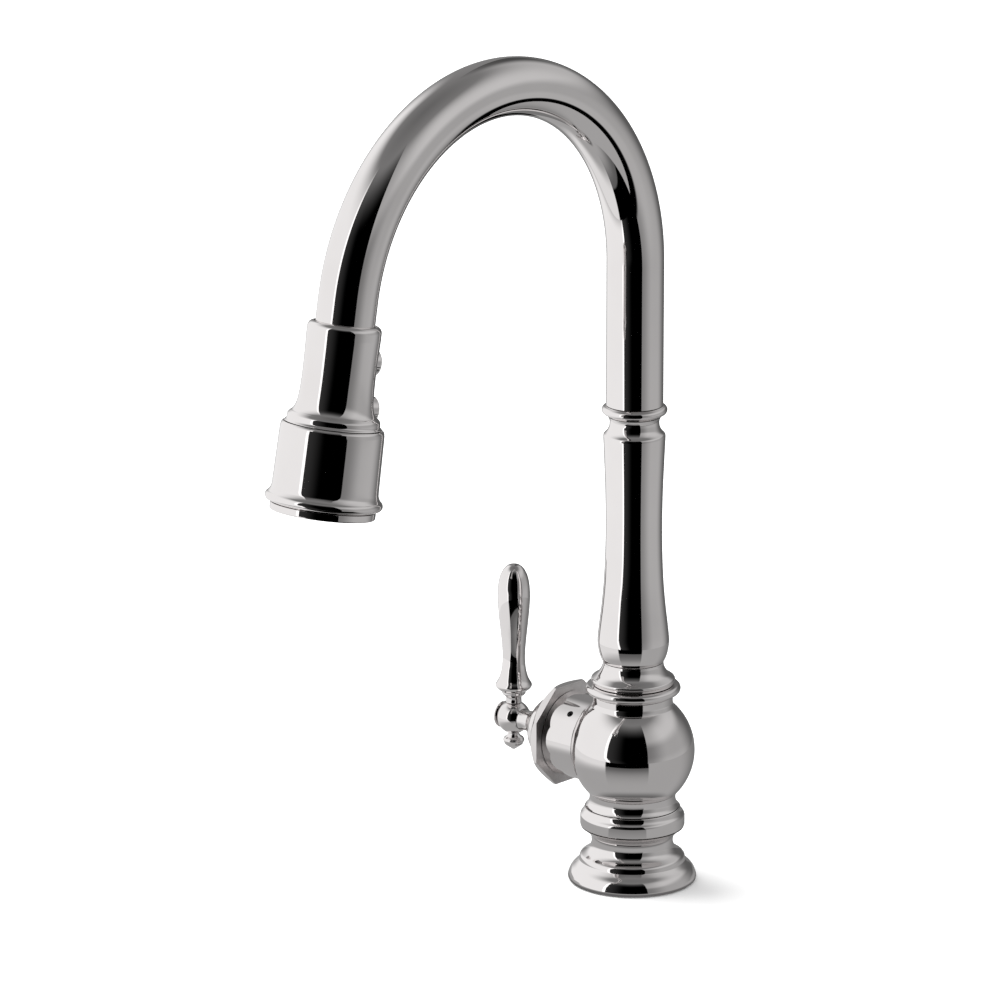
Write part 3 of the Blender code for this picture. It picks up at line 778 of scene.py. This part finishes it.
def head_bell_outline():
    lip = [(25.4, 98.7)] + arc(2.4, 25.75, 95.9, 80, -62, 20)
    wall = flowing(
        [(26.3, 92.8), (25.75, 91.6), (25.5, 89.5), (25.35, 83), (25.2, 75), (25.05, 66)]
        + [(24.95, 62.6)]
    )
    shoulder = flowing([(24.75, 61.2), (24.4, 60.5), (23.9, 59.9)], 4)
    return lip + wall + shoulder + [(20.4, 59.9), (20.4, 61.0), (22.7, 64.0), (22.7, 98.7)]


def make_face():
    """The spray face, its rubber nozzles in three rings, and the aerator with its mesh."""
    plate = [(8.7, 101.0), (9.1, 101.4), (22.0, 101.4), (22.4, 101.0), (22.4, 96.0), (8.7, 96.0)]
    plate = turned("spray_plate", plate, HEAD_AXIS)
    nozzles = []
    nozzle = [(0.45, 102.4), (0.75, 102.4), (1.1, 101.5), (1.15, 100.9), (0.45, 100.9)]
    for radius, count in NOZZLE_RINGS:
        for i in range(count):
            angle = math.tau * i / count
            place = (radius * math.cos(angle), radius * math.sin(angle), 0)
            nozzles.append(turned("nozzle", nozzle, HEAD_AXIS, TINY, 0.08, place))
    piece(plate, "spray_head", "dark_plastic", "spray_face")
    piece(joined("spray_nozzles", nozzles), "spray_head", "rubber")

    rim = [(5.9, 101.0), (6.3, 101.8), (7.7, 101.8), (8.3, 101.2), (8.3, 91.0), (3.0, 91.0)]
    rim += [(3.0, 96), (5.9, 98)]
    screen = [turned("aerator_rim", rim, HEAD_AXIS, PLAIN)]
    for i in range(-4, 5):
        across = i * WIRE_SPACING
        reach = math.sqrt(MESH_RADIUS**2 - across**2)
        low = (-reach, across - WIRE_WIDTH / 2, 100.0)
        high = (reach, across + WIRE_WIDTH / 2, 100.4)
        for turn in (0, math.pi / 2):
            screen.append(box("wire", low, high, HEAD_AXIS, (0, 0, turn)))
    piece(joined("aerator_screen", screen), "spray_head", "white_plastic", "aerator")


def button_outline(radius, inner, face):
    crown = [(0, face), (0.35 * radius, face - 0.1), (0.65 * radius, face - 0.35)]
    crown = flowing(crown + [(radius - 1.0, face - 0.8)], 4)
    edge = [(radius - 0.5, face - 1.1), (radius - 0.12, face - 1.6), (radius, face - 2.2)]
    return crown + flowing(edge, 4) + [(radius, inner), (0, inner)]


def make_spray_head():
    shell = turned("head_sleeve", head_shell_outline(), HEAD_AXIS)
    skirt = turned("head_skirt", head_bell_outline(), HEAD_AXIS)
    piece(skirt, "spray_head", "polished_nickel", "head_bell")
    trim = [(24.9, 102.5), (25.3, 102.0), (25.3, 99.0), (22.9, 99.0), (22.9, 102.5)]
    trim = turned("head_trim", trim, HEAD_AXIS)
    piece(trim, "spray_head", "polished_nickel", "face_ring")
    card_reflection = (math.pi / 2, 0, math.radians(BUTTON_TURN))
    for name, (place, radius, inner, face) in BUTTONS.items():
        where = {"axis": HEAD_AXIS, "place": (0, 0, place), "turn": card_reflection, "facets": PLAIN}
        hole = disc(radius + GAP, inner - 2.0, 30)
        cut(shell, turned("button_hole", hole, ease=0, **where))
        button = turned(f"{name}_cap", button_outline(radius, inner, face), **where)
        piece(button, name, "polished_nickel", name)
    piece(shell, "spray_head", "polished_nickel", "head_shell")
    make_face()


make_foot()
make_mounting()
make_valve_body()
make_bonnet()
make_spout()
make_handle()
make_spray_head()


# ---- carried-over CAD nodes ----

NODE_SLOTS = {
    "rubber": ("foot_gasket", "clamp_gasket", "cartridge_seal", "nozzle_mat"),
    "steel": ("clamp_washer", "retaining_clip", "pivot_pin", "hub_screw", "lever_stem")
    + ("hose_ferrule", "dock_plate"),
    "brass": ("swivel_post", "spout_spigot", "cartridge_nut", "swivel_nut"),
    "white_plastic": ("glide_washer", "lower_bush", "upper_bush", "cartridge_housing")
    + ("check_valve", "diverter"),
    "dark_plastic": ("dock_bush", "disc_carrier", "turret", "spray_core"),
    "ceramic": ("fixed_disc", "moving_disc"),
    "magnet": ("dock_magnet",),
    "hose": ("spray_hose",),
}
for slot, names in NODE_SLOTS.items():
    for name in names:
        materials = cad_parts[name].data.materials
        materials.clear()
        materials.append(MATERIALS[slot])


# ---- studio ----

CAMERA_TURN = math.radians(41.0)
CAMERA_RISE = math.radians(15.54)
CAMERA_DISTANCE = 3.5  # m from the aim point
AIM_HEIGHT = 0.220  # m, on the column's axis
LENS = 253.8  # mm, on a 36 mm sensor
AIM_ASIDE = -0.01911  # tangents of the angles from the aim point to the picture's centre
AIM_UP = -0.00601
FLOOR_HEIGHT = -0.0001  # m, just clear of the foot
KEY_PLACE = (-1.5, -0.3, 2.2)  # m
KEY_SIZE = 2.4  # m across
KEY_POWER = 90  # W

# The tent of light cards that only reflections show, in metres and degrees of bearing
# from the camera, right positive
TENT_RADIUS = 1.5
TENT_BOTTOM = -1.2
TENT_TOP = 3.0
TENT_SPOKES = 720
TENT_ROWS = 140
TABLE_RADIUS = 0.42  # of the floor that reflections show
TABLE_RINGS = 84
TABLE_HEIGHT = -0.001  # just under the real floor
CARD_RADIUS = 0.235  # where the painted reflection of the black card starts on the floor in front
RIGHT_EDGE = 28.0  # bearing of the black card's right edge
BLACK_GLOW = 0.03
CEILING_GLOW = 0.2
GROUND_GLOW = 0.05


def smooth(start, end, value):
    """0 before start and 1 after end, smoothly between."""
    t = min(1.0, max(0.0, (value - start) / (end - start)))
    return t * t * (3 - 2 * t)


def left_glow(bearing, height, edge):
    """The big soft light on the left, with a bright strip along the black card."""
    glow = 0.94 * (0.25 + 0.75 * smooth(-168, -142, bearing))
    glow += 0.5 * smooth(edge - 6, edge - 5, bearing)
    return glow + (0.45 - glow) * (1 - smooth(-1.1, -0.6, height))


def right_glow(bearing, height):
    """The weaker light on the right, brighter overhead and dark towards the back."""
    overhead = smooth(0.45, 0.95, height)
    glow = 0.2 + 0.2 * smooth(RIGHT_EDGE, 70, bearing)
    glow += 0.06 * (1 - smooth(-0.2, 0.1, height)) + 0.2 * overhead
    glow *= 1 - 0.72 * smooth(100, 150, bearing) * (1 - 0.75 * overhead)
    glow *= 1 - 0.85 * smooth(150, 172, bearing) * overhead
    return glow * smooth(-0.62, -0.52, height)


def wall_glow(bearing, height):
    """How bright the tent's wall is: light on the left, black in front, weaker on the right."""
    left_edge = -41 - 7 * smooth(-0.2, 0.0, height)
    if bearing < left_edge:
        glow = left_glow(bearing, height, left_edge)
    elif bearing < RIGHT_EDGE:
        glow = BLACK_GLOW * (1 - smooth(left_edge, left_edge + 34, bearing))
    else:
        glow = right_glow(bearing, height)
    top = smooth(1.1, TENT_TOP, height)
    return glow + (CEILING_GLOW - glow) * top


def floor_glow(bearing, radius):
    """The floor as the polished metal sees it, painted into a light card: grey, with painted light
    on the left, a painted reflection of the black card in front, and a painted shadow close round
    the foot."""
    # painted shade: the floor greyer towards the right and the back
    glow = 0.4 - 0.2 * smooth(90, 150, bearing)
    # painted shadow close round the foot
    glow *= 0.35 + 0.65 * smooth(0.033, 0.052, radius)
    # painted light on the left
    lit = smooth(-168, -142, bearing) * (1 - smooth(-50, -47, bearing))
    glow += 0.42 * lit * smooth(0.13, 0.27, radius)
    # painted reflection of the black card in front: darker towards it, and black past CARD_RADIUS
    card_reflection = smooth(-50, -47, bearing) * (1 - smooth(RIGHT_EDGE - 1, RIGHT_EDGE + 1, bearing))
    glow -= card_reflection * 0.28 * smooth(0.06, 0.22, radius)
    return glow * (1 - card_reflection * smooth(CARD_RADIUS - 0.004, CARD_RADIUS + 0.004, radius))


def ceiling_glow(radius):
    return CEILING_GLOW * (0.7 + 0.3 * radius / TENT_RADIUS)


def glow_material(name):
    """Gives off the light that the mesh's glow attribute states."""
    material = bpy.data.materials.new(name)
    material.use_nodes = True
    nodes, links = material.node_tree.nodes, material.node_tree.links
    nodes.clear()
    attribute = nodes.new("ShaderNodeAttribute")
    attribute.attribute_name = "glow"
    emission = nodes.new("ShaderNodeEmission")
    out = nodes.new("ShaderNodeOutputMaterial")
    links.new(attribute.outputs["Fac"], emission.inputs["Strength"])
    links.new(emission.outputs["Emission"], out.inputs["Surface"])
    material.cycles.emission_sampling = "NONE"
    return material


def glowing(name, stops, glow):
    """A light card, as rings of points round the column's axis at (radius, height) stops,
    in metres. It shows only in reflections. glow(bearing, radius, height) is its light."""
    shape = bmesh.new()
    front = CAMERA_TURN - math.pi / 2
    rings, glows = [], []
    for radius, height in stops:
        row = []
        for spoke in range(TENT_SPOKES):
            bearing = -180 + 360 / TENT_SPOKES * spoke
            angle = front + math.radians(bearing)
            place = (radius * math.cos(angle), radius * math.sin(angle), height)
            row.append(shape.verts.new(place))
            glows.append(glow(bearing, radius, height))
        rings.append(row)
    walled(shape, rings)
    if stops[0][0] < stops[-1][0]:
        shape.faces.new(rings[0])
    mesh = bpy.data.meshes.new(name)
    shape.to_mesh(mesh)
    shape.free()
    attribute = mesh.attributes.new("glow", "FLOAT", "POINT")
    attribute.data.foreach_set("value", np.array(glows, np.float32))
    mesh.materials.append(glow_material(name))
    cards = linked(name, mesh)
    for ray in ("camera", "diffuse", "transmission", "volume_scatter", "shadow"):
        setattr(cards, f"visible_{ray}", False)


def make_tent():
    table = [(TABLE_RADIUS * i / TABLE_RINGS, TABLE_HEIGHT) for i in range(1, TABLE_RINGS + 1)]
    glowing("table_glow", table, lambda bearing, radius, height: floor_glow(bearing, radius))
    span = TENT_TOP - TENT_BOTTOM
    wall = [(TENT_RADIUS, TENT_BOTTOM + span * i / TENT_ROWS) for i in range(TENT_ROWS + 1)]
    glowing("light_tent", wall, lambda bearing, radius, height: wall_glow(bearing, height))
    ceiling = [(TENT_RADIUS * i / 12, TENT_TOP) for i in range(1, 13)]
    glowing("ceiling_glow", ceiling, lambda bearing, radius, height: ceiling_glow(radius))
    ground = [(TENT_RADIUS * i / 4, TENT_BOTTOM) for i in range(1, 5)]
    glowing("ground_glow", ground, lambda bearing, radius, height: GROUND_GLOW)


def make_floor():
    """The white floor under the object, for the camera and the shadow. Metal sees the
    table card in its place."""
    shape = bmesh.new()
    bmesh.ops.create_grid(shape, x_segments=8, y_segments=8, size=8.0)
    bmesh.ops.translate(shape, vec=(0, 0, FLOOR_HEIGHT), verts=shape.verts)
    floor = linked("floor", mesh_from("floor", shape))
    made = Nodes("pale_floor", (0.93, 0.93, 0.93), 0.0, 0.6)
    made.roughened(made.noise(9, 3), 0.55, 0.7)
    floor.data.materials.append(made.material)
    floor.visible_glossy = False


def make_light(name, place, size, power):
    """A round soft light that faces the object's foot."""
    data = bpy.data.lights.new(name, "AREA")
    data.shape = "DISK"
    data.size = size
    data.energy = power
    light = bpy.data.objects.new(name, data)
    bpy.context.scene.collection.objects.link(light)
    light.location = place
    light.rotation_euler = (-Vector(place)).to_track_quat("-Z", "Y").to_euler()
    light.visible_glossy = False
    light.visible_camera = False


def make_world():
    world = bpy.data.worlds.new("white_studio")
    bpy.context.scene.world = world
    world.use_nodes = True
    background = world.node_tree.nodes["Background"]
    background.inputs["Color"].default_value = (1, 1, 1, 1)
    background.inputs["Strength"].default_value = 1.0


def make_camera():
    turn, rise = CAMERA_TURN, CAMERA_RISE
    level = Vector((math.sin(turn), -math.cos(turn), 0))
    back = level * math.cos(rise) + Vector((0, 0, math.sin(rise)))
    right = Vector((math.cos(turn), math.sin(turn), 0))
    up = back.cross(right)
    data = bpy.data.cameras.new("camera")
    data.lens = LENS
    camera = bpy.data.objects.new("camera", data)
    bpy.context.scene.collection.objects.link(camera)
    camera.location = Vector((0, 0, AIM_HEIGHT)) + back * CAMERA_DISTANCE
    looking = -back + right * AIM_ASIDE + up * AIM_UP
    camera.rotation_euler = looking.to_track_quat("-Z", "Y").to_euler()
    bpy.context.scene.camera = camera


make_tent()
make_floor()
make_light("key", KEY_PLACE, KEY_SIZE, KEY_POWER)
make_world()
make_camera()
bpy.context.scene.view_settings.view_transform = "Standard"
